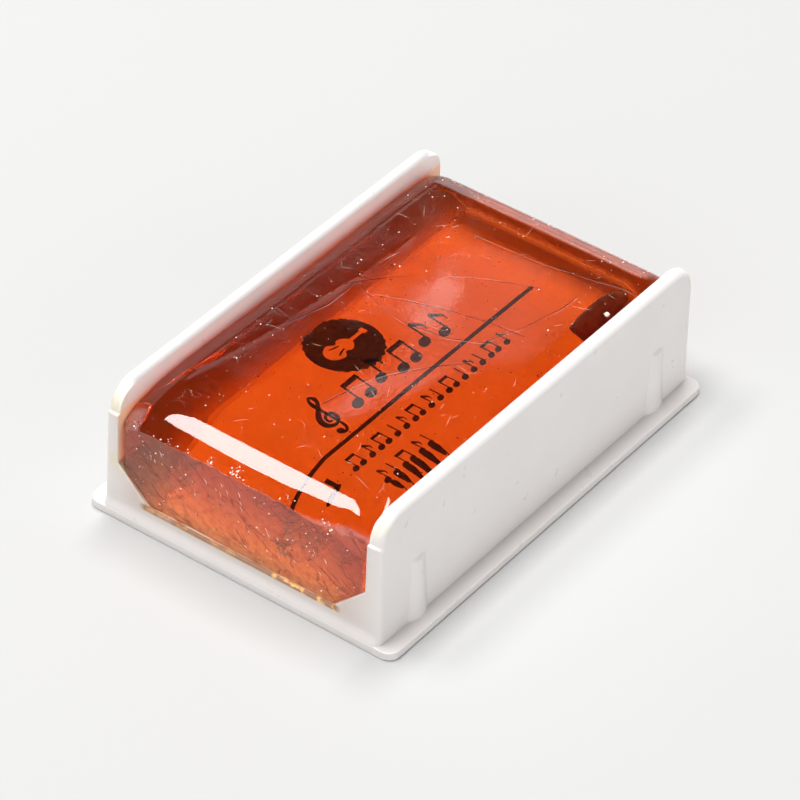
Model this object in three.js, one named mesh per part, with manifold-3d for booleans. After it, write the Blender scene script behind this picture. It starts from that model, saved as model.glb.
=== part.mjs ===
// Rectangular student rosin cake, cast in an open-ended plastic tray.
// A glossy white moulding (base plate, floor and two long side walls) holds a
// translucent amber cake of rosin, which was poured over a printed label that
// lies on the tray's floor. Bow hair is drawn along X, over the cake and
// between the walls, through the two open ends.
//
// Millimetres, +Z up. Origin: centre of the base plate's underside.
// +X runs along the cake, +Y across it.

import * as THREE from "three";
import { mergeVertices } from "three/addons/utils/BufferGeometryUtils.js";
import Module from "manifold-3d";

const wasm = await Module();
wasm.setup();

// ---- driving dimensions ----------------------------------------------------

// base plate: its long edges stand out as the two flanges that the lid grips
const PLATE_LENGTH = 52.0;
const PLATE_WIDTH = 36.5;
const PLATE_THICKNESS = 0.9;
const PLATE_CORNER_R = 1.5;

// side walls
const BODY_LENGTH = 51.4; // walls and floor, over the open ends
const WALL_FOOT_HALF_WIDTH = 16.45; // outer face where it meets the flange
const WALL_TOP_HALF_WIDTH = 16.08; // outer face at the top, after the draft
const WALL_INNER_HALF_WIDTH = 14.65; // inner face, square to the base
const WALL_HEIGHT = 15.4;
const WALL_CORNER_R = 3.1; // side view, at both ends of each wall
const WALL_TOP_EDGE_R = 0.8; // outer long edge along the top
const WALL_END_EDGE_R = 0.8; // outer upright edges, in plan
const PARTING_STEP_Z = 12.5; // the front end faces set back above this line
const PARTING_STEP = 0.35; // at the front (-X) ends only

// floor inside the channel
const FLOOR_Z = 3.0;
const FLOOR_CHAMFER = 3.7; // 45 degrees, floor to wall

// underside: cored out, so that the floor is about as thick as the walls
const CORE_LENGTH = 44.0;
const CORE_WIDTH = 26.0;
const CORE_DEPTH = 1.5;
const CORE_CORNER_R = 2.5;

// lid ribs: four upright, gently rounded ribs on the outer faces, which narrow upwards
const RIB_X = [-19.6, 19.6];
const RIB_TOP_Z = 8.0;
const RIB_FOOT_HALF_WIDTH = 1.55;
const RIB_FOOT_PROUD = 0.52;
const RIB_TOP_HALF_WIDTH = 0.95;
const RIB_TOP_PROUD = 0.28;

// printed label on the floor
const LABEL_LENGTH = 46.0;
const LABEL_WIDTH = 20.6;
const LABEL_THICKNESS = 0.12;
const LABEL_CORNER_R = 1.0;

// rosin cake
const CAKE_BOTTOM_Z = FLOOR_Z + LABEL_THICKNESS;
const CAKE_HALF_WIDTH = 14.58;
const CAKE_FLAT_HALF_WIDTH = 10.9; // underside, between its two chamfers
const CAKE_TOP_Z = 14.15;
const CAKE_SIDE_Z = 12.75; // where the rounded top meets the wall
const CAKE_FRONT_X = -25.45; // broken-looking, nearly upright end face
const CAKE_FRONT_TOP_Z = 11.7; // top edge of that face
const CAKE_FRONT_FLAT_X = -19.3; // the top is level behind this
const CAKE_BACK_X = 25.6;
const CAKE_BACK_TOP_Z = 10.2; // top of the upright back face
const CAKE_BACK_FLAT_X = 21.4; // the top rolls over behind this
const CAKE_BACK_PLAN_R = 2.8; // back corners, in plan
const CAKE_FRONT_PLAN_R = 1.2;

// ---- shapes ----------------------------------------------------------------

function solid(geometry) {
  let g = geometry.index ? geometry.toNonIndexed() : geometry.clone();
  g.deleteAttribute("normal");
  g.deleteAttribute("uv");
  g = mergeVertices(g, 1e-4);
  return new wasm.Manifold(
    new wasm.Mesh({
      numProp: 3,
      vertProperties: new Float32Array(g.attributes.position.array),
      triVerts: new Uint32Array(g.index.array),
    }),
  );
}

function geometryOf(manifold) {
  const mesh = manifold.getMesh();
  const n = mesh.numProp;
  const xyz = new Float32Array(mesh.numVert * 3);
  for (let i = 0; i < mesh.numVert; i++)
    xyz.set(mesh.vertProperties.subarray(i * n, i * n + 3), i * 3);
  const g = new THREE.BufferGeometry();
  g.setAttribute("position", new THREE.BufferAttribute(xyz, 3));
  g.setIndex(new THREE.BufferAttribute(new Uint32Array(mesh.triVerts), 1));
  return g;
}

function extrude(shape, depth, curveSegments) {
  return new THREE.ExtrudeGeometry(shape, {
    depth,
    bevelEnabled: false,
    curveSegments,
    steps: 1,
  });
}

// A rectangle in the shape's own plane, with a radius on its four corners.
function roundedRectangle(width, height, r, cx = 0, cy = 0) {
  const x0 = cx - width / 2,
    x1 = cx + width / 2,
    y0 = cy - height / 2,
    y1 = cy + height / 2;
  const s = new THREE.Shape();
  s.moveTo(x0 + r, y0);
  s.lineTo(x1 - r, y0);
  s.absarc(x1 - r, y0 + r, r, -Math.PI / 2, 0, false);
  s.lineTo(x1, y1 - r);
  s.absarc(x1 - r, y1 - r, r, 0, Math.PI / 2, false);
  s.lineTo(x0 + r, y1);
  s.absarc(x0 + r, y1 - r, r, Math.PI / 2, Math.PI, false);
  s.lineTo(x0, y0 + r);
  s.absarc(x0 + r, y0 + r, r, Math.PI, 1.5 * Math.PI, false);
  return s;
}

// Plan outline (shape x, y = X, Y), from z0 up to z1.
function fromPlan(shape, z0, z1, curveSegments = 6) {
  return extrude(shape, z1 - z0, curveSegments).translate(0, 0, z0);
}

// Section across the part (shape x, y = Y, Z), centred on X.
function fromSection(shape, length, curveSegments = 6) {
  const g = extrude(shape, length, curveSegments);
  // shape x to Y, shape y to Z, depth to X
  g.applyMatrix4(
    new THREE.Matrix4().makeBasis(
      new THREE.Vector3(0, 1, 0),
      new THREE.Vector3(0, 0, 1),
      new THREE.Vector3(1, 0, 0),
    ),
  );
  return g.translate(-length / 2, 0, 0);
}

// Side outline (shape x, y = X, Z), centred on Y.
function fromSide(shape, width, curveSegments = 8) {
  const g = extrude(shape, width, curveSegments);
  // shape x to X, shape y to Z, depth to -Y
  g.applyMatrix4(
    new THREE.Matrix4().makeBasis(
      new THREE.Vector3(1, 0, 0),
      new THREE.Vector3(0, 0, 1),
      new THREE.Vector3(0, -1, 0),
    ),
  );
  return g.translate(0, width / 2, 0);
}

// ---- tray ------------------------------------------------------------------

function trayBlockSection() {
  // outer outline of floor and walls, before the channel is cut
  const r = WALL_TOP_EDGE_R,
    foot = WALL_FOOT_HALF_WIDTH,
    top = WALL_TOP_HALF_WIDTH,
    draft = Math.atan2(foot - top, WALL_HEIGHT - PLATE_THICKNESS);
  const zr = WALL_HEIGHT - r;
  const topX =
    foot - ((zr - PLATE_THICKNESS) * (foot - top)) / (WALL_HEIGHT - PLATE_THICKNESS);
  const s = new THREE.Shape();
  s.moveTo(-foot, PLATE_THICKNESS / 2);
  s.lineTo(foot, PLATE_THICKNESS / 2);
  s.lineTo(foot, PLATE_THICKNESS);
  s.lineTo(topX, zr);
  s.absarc(topX - r, zr, r, draft, Math.PI / 2, false);
  s.lineTo(-(topX - r), WALL_HEIGHT);
  s.absarc(-(topX - r), zr, r, Math.PI / 2, Math.PI - draft, false);
  s.lineTo(-foot, PLATE_THICKNESS);
  return s;
}

function traySideOutline() {
  // the front end (-X) has the parting step; the back end runs straight up
  const end = BODY_LENGTH / 2,
    high = end - PARTING_STEP,
    r = WALL_CORNER_R,
    zc = WALL_HEIGHT - r;
  const a = Math.asin(Math.max(0, (PARTING_STEP_Z - zc) / r));
  const s = new THREE.Shape();
  s.moveTo(-end, 0);
  s.lineTo(end, 0);
  s.lineTo(end, zc);
  s.absarc(end - r, zc, r, 0, Math.PI / 2, false);
  s.lineTo(-(high - r), WALL_HEIGHT);
  s.absarc(-(high - r), zc, r, Math.PI / 2, Math.PI - a, false);
  s.lineTo(-high, PARTING_STEP_Z);
  s.lineTo(-end, PARTING_STEP_Z - 0.15);
  return s;
}

function channelSection() {
  const w = WALL_INNER_HALF_WIDTH,
    c = FLOOR_CHAMFER;
  const s = new THREE.Shape();
  s.moveTo(-(w - c), FLOOR_Z);
  s.lineTo(w - c, FLOOR_Z);
  s.lineTo(w, FLOOR_Z + c);
  s.lineTo(w, WALL_HEIGHT + 2);
  s.lineTo(-w, WALL_HEIGHT + 2);
  s.lineTo(-w, FLOOR_Z + c);
  return s;
}

function rib(x, side) {
  // a cone that pokes out of the wall by an arc of the given width and height
  const arc = (w, p) => (w * w + p * p) / (2 * p);
  const z0 = PLATE_THICKNESS / 2;
  const height = RIB_TOP_Z - z0;
  const wallAt = (z) =>
    WALL_FOOT_HALF_WIDTH -
    ((WALL_FOOT_HALF_WIDTH - WALL_TOP_HALF_WIDTH) * (z - PLATE_THICKNESS)) /
      (WALL_HEIGHT - PLATE_THICKNESS);
  const footR = arc(RIB_FOOT_HALF_WIDTH, RIB_FOOT_PROUD);
  const topR = arc(RIB_TOP_HALF_WIDTH, RIB_TOP_PROUD);
  const footY = wallAt(PLATE_THICKNESS) + RIB_FOOT_PROUD - footR;
  const topY = wallAt(RIB_TOP_Z) + RIB_TOP_PROUD - topR;
  const g = new THREE.CylinderGeometry(topR, footR, height, 48, 1, false);
  g.rotateX(Math.PI / 2); // axis along Z, foot down
  g.translate(0, 0, height / 2);
  g.applyMatrix4(
    new THREE.Matrix4().set(
      1, 0, 0, x,
      0, 1, (side * (topY - footY)) / height, side * footY,
      0, 0, 1, z0,
      0, 0, 0, 1,
    ),
  );
  return g;
}

function makeTray() {
  const plate = solid(
    fromPlan(roundedRectangle(PLATE_LENGTH, PLATE_WIDTH, PLATE_CORNER_R), 0, PLATE_THICKNESS),
  );
  const plan = fromPlan(
    roundedRectangle(BODY_LENGTH, 2 * WALL_FOOT_HALF_WIDTH, WALL_END_EDGE_R),
    -1,
    WALL_HEIGHT + 1,
  );
  let block = solid(fromSection(trayBlockSection(), BODY_LENGTH + 4))
    .intersect(solid(fromSide(traySideOutline(), 2 * WALL_FOOT_HALF_WIDTH + 4)))
    .intersect(solid(plan));
  for (const x of RIB_X)
    for (const side of [-1, 1]) block = block.add(solid(rib(x, side)));
  const channel = solid(fromSection(channelSection(), BODY_LENGTH + 8));
  const core = solid(
    fromPlan(roundedRectangle(CORE_LENGTH, CORE_WIDTH, CORE_CORNER_R), -1, CORE_DEPTH),
  );
  return geometryOf(block.add(plate).subtract(channel).subtract(core));
}

// ---- label -----------------------------------------------------------------

function makeLabel() {
  return fromPlan(
    roundedRectangle(LABEL_LENGTH, LABEL_WIDTH, LABEL_CORNER_R),
    FLOOR_Z,
    FLOOR_Z + LABEL_THICKNESS,
    4,
  );
}

// ---- rosin cake ------------------------------------------------------------

function cakeSection() {
  // eight-sided section; the two upper corners are rounded and the top crowned
  const w = CAKE_HALF_WIDTH,
    f = CAKE_FLAT_HALF_WIDTH,
    zc = CAKE_BOTTOM_Z + (w - f);
  const s = new THREE.Shape();
  s.moveTo(-f, CAKE_BOTTOM_Z);
  s.lineTo(f, CAKE_BOTTOM_Z);
  s.lineTo(w, zc);
  s.lineTo(w, CAKE_SIDE_Z);
  s.bezierCurveTo(w - 0.1, CAKE_SIDE_Z + 0.75, w - 0.9, CAKE_TOP_Z - 0.15, w - 2.6, CAKE_TOP_Z - 0.03);
  s.lineTo(0, CAKE_TOP_Z);
  s.lineTo(-(w - 2.6), CAKE_TOP_Z - 0.03);
  s.bezierCurveTo(-(w - 0.9), CAKE_TOP_Z - 0.15, -(w - 0.1), CAKE_SIDE_Z + 0.75, -w, CAKE_SIDE_Z);
  s.lineTo(-w, zc);
  return s;
}

function cakeSideOutline() {
  const top = CAKE_TOP_Z + 0.2; // the section sets the level top
  const backRise = CAKE_TOP_Z - CAKE_BACK_TOP_Z,
    backRun = CAKE_BACK_X - CAKE_BACK_FLAT_X,
    k = 0.5523; // a cubic quarter round
  const s = new THREE.Shape();
  s.moveTo(CAKE_FRONT_X + 0.15, CAKE_BOTTOM_Z - 1);
  s.lineTo(CAKE_BACK_X - 0.2, CAKE_BOTTOM_Z - 1);
  s.lineTo(CAKE_BACK_X - 0.1, CAKE_BOTTOM_Z + 1);
  s.lineTo(CAKE_BACK_X, CAKE_BACK_TOP_Z);
  s.bezierCurveTo(
    CAKE_BACK_X, CAKE_BACK_TOP_Z + k * backRise,
    CAKE_BACK_FLAT_X + k * backRun, CAKE_TOP_Z,
    CAKE_BACK_FLAT_X, CAKE_TOP_Z,
  );
  s.lineTo(CAKE_BACK_FLAT_X - 1.2, top);
  s.lineTo(CAKE_FRONT_FLAT_X + 1.2, top);
  s.lineTo(CAKE_FRONT_FLAT_X, CAKE_TOP_Z);
  // rolls down to the top edge of the end face, steepest there
  s.quadraticCurveTo(CAKE_FRONT_FLAT_X - 2.9, CAKE_TOP_Z, CAKE_FRONT_X + 0.1, CAKE_FRONT_TOP_Z);
  s.lineTo(CAKE_FRONT_X, CAKE_FRONT_TOP_Z - 0.6);
  s.lineTo(CAKE_FRONT_X + 0.05, CAKE_BOTTOM_Z + 1);
  return s;
}

function cakePlan() {
  const x0 = CAKE_FRONT_X,
    x1 = CAKE_BACK_X,
    w = CAKE_HALF_WIDTH,
    f = CAKE_FRONT_PLAN_R,
    b = CAKE_BACK_PLAN_R;
  const s = new THREE.Shape();
  s.moveTo(x0 + f, -w);
  s.lineTo(x1 - b, -w);
  s.absarc(x1 - b, -w + b, b, -Math.PI / 2, 0, false);
  s.lineTo(x1, w - b);
  s.absarc(x1 - b, w - b, b, 0, Math.PI / 2, false);
  s.lineTo(x0 + f, w);
  s.absarc(x0 + f, w - f, f, Math.PI / 2, Math.PI, false);
  s.lineTo(x0, -w + f);
  s.absarc(x0 + f, -w + f, f, Math.PI, 1.5 * Math.PI, false);
  return s;
}

function makeCake() {
  const across = solid(fromSection(cakeSection(), PLATE_LENGTH + 4, 7));
  const side = solid(fromSide(cakeSideOutline(), PLATE_WIDTH, 9));
  const plan = solid(fromPlan(cakePlan(), 0, CAKE_TOP_Z + 2, 6));
  return geometryOf(across.intersect(side).intersect(plan));
}

// ---- scene graph -----------------------------------------------------------

function piece(name, geometry, colour, roughness, extra = {}) {
  const mesh = new THREE.Mesh(
    geometry,
    new THREE.MeshStandardMaterial({
      name,
      color: new THREE.Color().setRGB(...colour, THREE.SRGBColorSpace),
      roughness,
      metalness: 0,
      ...extra,
    }),
  );
  mesh.name = name;
  return mesh;
}

const group = new THREE.Group();
group.name = "rosin_cake_in_tray";

const tray = piece("tray", makeTray(), [0.94, 0.93, 0.92], 0.22);
group.add(tray);

const contents = new THREE.Group(); // what the tray holds, poured and laid in it
contents.name = "tray_contents";
contents.add(piece("label", makeLabel(), [0.96, 0.93, 0.86], 0.6));
contents.add(
  piece("rosin_cake", makeCake(), [0.85, 0.3, 0.08], 0.12, {
    transparent: true,
    opacity: 0.75,
  }),
);
group.add(contents);

export default group;
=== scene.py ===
import bpy
import math
import numpy as np
from mathutils import Matrix, Vector


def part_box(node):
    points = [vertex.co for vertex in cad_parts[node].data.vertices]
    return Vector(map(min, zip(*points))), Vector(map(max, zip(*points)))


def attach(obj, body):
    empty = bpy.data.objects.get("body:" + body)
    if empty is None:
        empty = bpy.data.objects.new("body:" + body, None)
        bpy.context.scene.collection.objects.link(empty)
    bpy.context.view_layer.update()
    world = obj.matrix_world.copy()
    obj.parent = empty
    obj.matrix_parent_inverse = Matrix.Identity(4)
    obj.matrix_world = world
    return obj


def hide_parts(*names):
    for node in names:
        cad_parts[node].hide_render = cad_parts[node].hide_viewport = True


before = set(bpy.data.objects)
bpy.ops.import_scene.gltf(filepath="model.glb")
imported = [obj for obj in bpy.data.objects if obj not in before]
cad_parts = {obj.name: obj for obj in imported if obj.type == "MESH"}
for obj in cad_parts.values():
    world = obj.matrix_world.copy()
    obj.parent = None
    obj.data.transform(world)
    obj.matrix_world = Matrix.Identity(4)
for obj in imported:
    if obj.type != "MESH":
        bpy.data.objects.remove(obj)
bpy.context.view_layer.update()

MM = 0.001
RNG = np.random.default_rng(7)

# --------------------------------------------------------------------------
# dimensions of the looks, in mm, in the row frame (they repeat the CAD's)
# --------------------------------------------------------------------------
T_LO, T_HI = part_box("tray")
H = T_HI[2] / MM                 # wall top
PLATE_L = (T_HI[0] - T_LO[0]) / MM
PLATE_W = (T_HI[1] - T_LO[1]) / MM
PLATE_T, PLATE_R = 0.9, 1.3
BODY_X, UPPER_X = 25.7, 25.35    # end faces, below and above the parting step
STEP_Z = 12.5
FOOT_Y, TOP_Y = 16.45, 16.08     # outer wall face, at the foot and at the top
INNER_Y, FLOOR_Z, CHAMFER = 14.65, 3.0, 3.7
DRAFT = (FOOT_Y - TOP_Y) / (H - PLATE_T)


# --------------------------------------------------------------------------
# noise, signed distances and the mesher
# --------------------------------------------------------------------------
def hash3(i, j, k, seed):
    n = (i * 374761393 + j * 668265263 + k * 2147483647 + seed * 1274126177) & 0xFFFFFFFF
    n = ((n ^ (n >> 13)) * 1274126177) & 0xFFFFFFFF
    n = ((n ^ (n >> 16)) * 2246822519) & 0xFFFFFFFF
    return ((n ^ (n >> 15)) & 0xFFFFFF) / float(0xFFFFFF) * 2 - 1


def noise(x, y, z, seed=0):
    """Smooth value noise, from -1 to 1."""
    xi, yi, zi = (np.floor(a).astype(np.int64) for a in (x, y, z))
    u, v, w = x - xi, y - yi, z - zi
    u, v, w = (a * a * a * (a * (a * 6 - 15) + 10) for a in (u, v, w))
    out = 0
    for a in (0, 1):
        for b in (0, 1):
            for c in (0, 1):
                wt = (u if a else 1 - u) * (v if b else 1 - v) * (w if c else 1 - w)
                out = out + wt * hash3(xi + a, yi + b, zi + c, seed)
    return out


def fbm(x, y, z, seed=0, octaves=3, gain=0.5):
    total, amp = 0, 1.0
    for o in range(octaves):
        total = total + amp * noise(x * 2**o, y * 2**o, z * 2**o, seed + 17 * o)
        amp *= gain
    return total


def both(a, b, r=0.0):
    """Inside a and b, with the edge where they meet rounded to r."""
    if np.isscalar(r) and r <= 0:
        return np.maximum(a, b)
    return np.minimum(np.maximum(a, b), -r) + np.hypot(np.maximum(a + r, 0), np.maximum(b + r, 0))


def either(a, b, r=0.0):
    """Inside a or b, with a fillet of radius r where they meet."""
    return -both(-a, -b, r)


def box2(a, b, ha, hb, r):
    """Rounded rectangle of half sides ha, hb."""
    qa, qb = np.abs(a) - ha + r, np.abs(b) - hb + r
    return np.hypot(np.maximum(qa, 0), np.maximum(qb, 0)) + np.minimum(np.maximum(qa, qb), 0) - r


def smooth01(a):
    a = np.clip(a, 0, 1)
    return a * a * (3 - 2 * a)


def graded(parts):
    """Grid lines: parts is a list of (start, end, step)."""
    out = []
    for a, b, s in parts:
        n = max(1, int(round((b - a) / s)))
        out.extend(np.linspace(a, b, n + 1)[:-1])
    out.append(parts[-1][1])
    return np.unique(np.round(np.array(out), 6))


def net(f, xs, ys, zs, steps=5):
    """A closed quad mesh of f = 0 on an uneven grid, with each vertex moved onto the surface, and its normals."""
    X, Y, Z = np.meshgrid(xs, ys, zs, indexing="ij")
    F = f(X, Y, Z)
    ins = F < 0
    nx, ny, nz = F.shape
    count = sum(
        ins[a : nx - 1 + a, b : ny - 1 + b, c : nz - 1 + c].astype(np.int8)
        for a in (0, 1) for b in (0, 1) for c in (0, 1)
    )
    ci, cj, ck = np.nonzero((count > 0) & (count < 8))
    ids = -np.ones((nx - 1, ny - 1, nz - 1), np.int64)
    ids[ci, cj, ck] = np.arange(len(ci))
    total, hits = np.zeros((len(ci), 3)), np.zeros(len(ci))
    corners = [(a, b, c) for a in (0, 1) for b in (0, 1) for c in (0, 1)]
    for p in corners:
        for ax in range(3):
            if p[ax]:
                continue
            q = list(p); q[ax] = 1
            f0 = F[ci + p[0], cj + p[1], ck + p[2]]
            f1 = F[ci + q[0], cj + q[1], ck + q[2]]
            m = (f0 < 0) != (f1 < 0)
            t = np.where(m, f0 / np.where(m, f0 - f1, 1), 0)
            P0 = np.stack([xs[ci + p[0]], ys[cj + p[1]], zs[ck + p[2]]], 1)
            P1 = np.stack([xs[ci + q[0]], ys[cj + q[1]], zs[ck + q[2]]], 1)
            total += np.where(m[:, None], P0 + (P1 - P0) * t[:, None], 0)
            hits += m
    V = total / hits[:, None]
    lo = np.stack([xs[ci], ys[cj], zs[ck]], 1)
    hi = np.stack([xs[ci + 1], ys[cj + 1], zs[ck + 1]], 1)
    pad = 0.25 * (hi - lo)

    def gradient(P, e=4e-3):
        g = np.empty_like(P)
        for ax in range(3):
            d = np.zeros(3); d[ax] = e
            g[:, ax] = (f(*(P + d).T) - f(*(P - d).T)) / (2 * e)
        return g

    for _ in range(steps):
        g = gradient(V)
        move = f(*V.T)[:, None] * g / np.maximum((g * g).sum(1), 1e-6)[:, None]
        V = np.clip(V - np.clip(move, -0.2, 0.2), lo - pad, hi + pad)
    g = gradient(V)
    N = g / np.maximum(np.linalg.norm(g, axis=1), 1e-9)[:, None]

    quads = []
    for ax in range(3):
        a = [slice(None)] * 3; b = [slice(None)] * 3
        a[ax] = slice(0, -1); b[ax] = slice(1, None)
        s0, s1 = ins[tuple(a)], ins[tuple(b)]
        i, j, k = np.nonzero(s0 != s1)
        inner = s0[i, j, k]
        o1, o2 = [(0, 1, 2), (1, 2, 0), (2, 0, 1)][ax][1:]
        idx = [i, j, k]
        ok = (idx[o1] > 0) & (idx[o2] > 0) & (idx[o1] < F.shape[o1] - 1) & (idx[o2] < F.shape[o2] - 1)
        idx = [q[ok] for q in idx]; inner = inner[ok]
        ring = []
        for d1, d2 in ((-1, -1), (0, -1), (0, 0), (-1, 0)):
            c = [q.copy() for q in idx]
            c[o1] = c[o1] + d1; c[o2] = c[o2] + d2
            ring.append(ids[c[0], c[1], c[2]])
        ring = np.stack(ring, 1)
        ring[~inner] = ring[~inner][:, ::-1]
        quads.append(ring)
    Q = np.concatenate(quads)
    assert (Q >= 0).all()
    return V, N, Q


def mesh_object(name, V, faces, normals=None, collection=None):
    """V in mm."""
    me = bpy.data.meshes.new(name)
    me.from_pydata((np.asarray(V) * MM).tolist(), [], [list(map(int, q)) for q in faces])
    me.validate()
    me.update()
    for p in me.polygons:
        p.use_smooth = True
    if normals is not None and len(me.vertices) == len(normals):
        me.normals_split_custom_set_from_vertices([tuple(n) for n in normals])
    ob = bpy.data.objects.new(name, me)
    bpy.context.scene.collection.objects.link(ob)
    return ob


# --------------------------------------------------------------------------
# tray
# --------------------------------------------------------------------------
def tray_f(x, y, z):
    ay = np.abs(y)
    outer = (ay - (FOOT_Y - DRAFT * (z - PLATE_T))) / math.hypot(1, DRAFT)
    # the end faces run out to the plate's edges at the foot
    flare = 0.3 * (1 - smooth01((z - 0.7) / 1.5))
    front_low = both(-x - BODY_X - flare, z - STEP_Z, 0.14)
    front_up = both(-x - UPPER_X, z - H, 3.0)
    ends = both(either(front_low, front_up, 0.06), both(x - BODY_X - flare, z - H, 3.1), 0)
    body = both(both(ends, outer, 0.75), 0.3 - z, 0)
    # ribs: wide shallow arcs that narrow upwards and end in a slanted facet
    for rx in (-19.6, 19.6):
        t = np.clip((z - PLATE_T) / (8.0 - PLATE_T), 0, 1)
        hw, proud = 1.55 - 0.6 * t, 0.52 - 0.24 * t
        rr = (hw * hw + proud * proud) / (2 * proud)
        wall_y = FOOT_Y - DRAFT * (z - PLATE_T)
        cone = np.hypot(x - rx, ay - (wall_y + proud - rr)) - rr
        cone = both(cone, (z - 8.0 + 1.3 * (ay - wall_y)) / 1.64, 0.08)
        cone = both(cone, 0.3 - z, 0)
        body = either(body, cone, 0.08)
    plate = both(box2(x, y, PLATE_L / 2, PLATE_W / 2, PLATE_R), np.abs(z - PLATE_T / 2) - PLATE_T / 2, 0.10)
    f = either(body, plate, 0.07)
    channel = both(both(ay - INNER_Y, FLOOR_Z - z, 0), (ay - z - (INNER_Y - FLOOR_Z - CHAMFER)) / math.sqrt(2), 0.0)
    # soft inner edges along the wall tops, crisper ones elsewhere
    f = both(f, -channel, 0.13 + 0.42 * smooth01((z - 14.2) / 0.7))
    core = both(box2(x, y, 22.0, 13.0, 2.5), z - 1.5, 0.25)
    return both(f, -core, 0.15)


def make_tray():
    ends = [(-26.4, -25.0, 0.1), (-25.0, -21.8, 0.2), (-21.8, -17.2, 0.2), (-17.2, -16, 0.6), (-16, 16, 2.0),
            (16, 17.4, 0.6), (17.4, 22.0, 0.2), (22.0, 25.0, 0.2), (25.0, 26.4, 0.1)]
    xs = graded(ends)
    half = [(0, 10, 2.0), (10, 11.4, 0.2), (11.4, 14.0, 0.6), (14.0, 17.3, 0.1), (17.3, 18.0, 0.2), (18.0, 18.7, 0.1)]
    yp = graded(half)
    ys = np.unique(np.concatenate([-yp[::-1], yp]))
    zs = graded([(-0.3, 2.2, 0.1), (2.2, 2.6, 0.2), (2.6, 3.4, 0.1), (3.4, 6.2, 0.5), (6.2, 8.6, 0.15),
                 (8.6, 11.8, 0.6), (11.8, 12.9, 0.08), (12.9, 14.2, 0.16), (14.2, 15.8, 0.08)])
    # nothing lands exactly on a flat face of the tray
    xs, ys, zs = xs + 0.0137, ys + 0.0113, zs + 0.0171
    V, N, Q = net(tray_f, xs, ys, zs)
    return mesh_object("tray_shell", V, Q, N)


# --------------------------------------------------------------------------
# rosin cake
# --------------------------------------------------------------------------
CX0, CX1 = -25.45, 25.6
CW = INNER_Y + 0.02              # the rosin was poured in hot and wets the tray, so it reaches a hair into it
CB = FLOOR_Z - 0.02
# height of the roll where it meets the walls, along X, and the front face's top edge, along Y
SIDE_X = np.array([-26, -25, -20, -15, -10, -5, 0, 5, 10, 15, 19, 22, 26.0])
SIDE_Z = np.array([12.6, 12.7, 13.0, 13.15, 13.05, 12.85, 12.7, 12.7, 12.8, 12.9, 12.9, 12.8, 12.7])
EDGE_Y = np.array([-15, -14.4, -13.8, -12, -9.2, -4.5, 0, 5, 9, 12, 14, 15.0])
EDGE_Z = np.array([8.6, 9.4, 10.1, 10.65, 11.2, 11.68, 11.72, 11.63, 11.5, 11.4, 11.25, 11.1])


# the back edge's roll: slope along X, summed up to a drop
BACK_X = np.linspace(21, 26.6, 281)
BACK_SLOPE = np.interp(BACK_X, [21.2, 21.85, 23.3, 24.7, 25.2, 25.6], [0, 0.30, 0.34, 0.99, 2.2, 6.0])
BACK_SLOPE = np.convolve(np.pad(BACK_SLOPE, 15, "edge"), np.hanning(33)[1:-1] / np.hanning(33).sum(), "valid")
BACK_DROP = np.cumsum(BACK_SLOPE) * (BACK_X[1] - BACK_X[0])


def cake_top(x, y):
    """Height of the cake's upper surface."""
    ay = np.abs(y)
    level = 14.1 + 0.03 * noise(x / 15, y / 11, 0 * x, 3) - 0.06 * (y / 14) ** 2
    side = np.interp(x, SIDE_X, SIDE_Z)
    # edge rolls: towards the walls, the front end and the back end
    near_front = smooth01((-17.5 - x) / 5.5) * smooth01((-4 - y) / 6)
    width = 2.9 - 2.0 * near_front + 0.7 * smooth01((-17.5 - x) / 5.5) * smooth01((y - 4) / 6)
    u = np.clip((ay - (CW - width)) / width, 0, 1.1)
    drop_side = (np.clip(14.1 - side, 0.6, 1.8) - 0.55 * near_front) * u**2.1
    v = np.clip((-19.7 - x) / 5.8, 0, 1.15)
    drop_front = 2.36 * v**2.05 + np.clip(11.74 - np.interp(y, EDGE_Y, EDGE_Z), 0, 3.2) * v**7
    drop_back = np.interp(x, BACK_X, BACK_DROP)
    drop = (drop_side**1.5 + drop_front**1.5 + drop_back**1.5) ** (1 / 1.5)
    ripple = 0.004 * noise(x / 4.7, y / 3.9, 0 * x, 5)
    # a long shallow crease inside the far edge
    cy = np.interp(x, [-22, -20, -12, -8, 0, 5, 12, 16], [14.0, 12.9, 11.0, 10.3, 9.6, 8.9, 8.6, 8.6])
    crease = -0.055 * np.exp(-np.abs(y - cy) / 0.5) * smooth01((x + 23) / 3) * smooth01((15 - x) / 5)
    # past a shallow line near the back the surface leans away
    past = x - (84.6 - np.sqrt(68.16**2 - (np.clip(y, -14, 14) - 4.78) ** 2))
    lean = 0.022 * 0.22 * np.logaddexp(0, past / 0.22)
    # towards the walls the front roll tips over a little, past a rounded line at each end
    far_line = np.interp(x, [-24.6, -24.3, -23.7, -22.9, -22.5, -21.8], [10.7, 11.3, 11.0, 10.1, 8.9, 6.5])
    near_line = np.interp(x, [-24.8, -24.5, -24.2, -23.8, -23.4, -23.0, -22.7, -22.4], [-10.4, -11.2, -11.7, -12.0, -12.05, -11.9, -11.5, -10.9])
    tip = 0.035 * 0.1 * np.logaddexp(0, (y - far_line) / 0.1) + 0.055 * 0.1 * np.logaddexp(0, (near_line - y) / 0.1)
    tip = tip * smooth01((-18.8 - x) / 3.4)
    dimple = 0.02 * np.exp(-((x + 23.55) ** 2 / 0.12 + (y + 10.9) ** 2 / 0.5))
    return level - drop + ripple + crease - lean - tip - dimple


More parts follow.
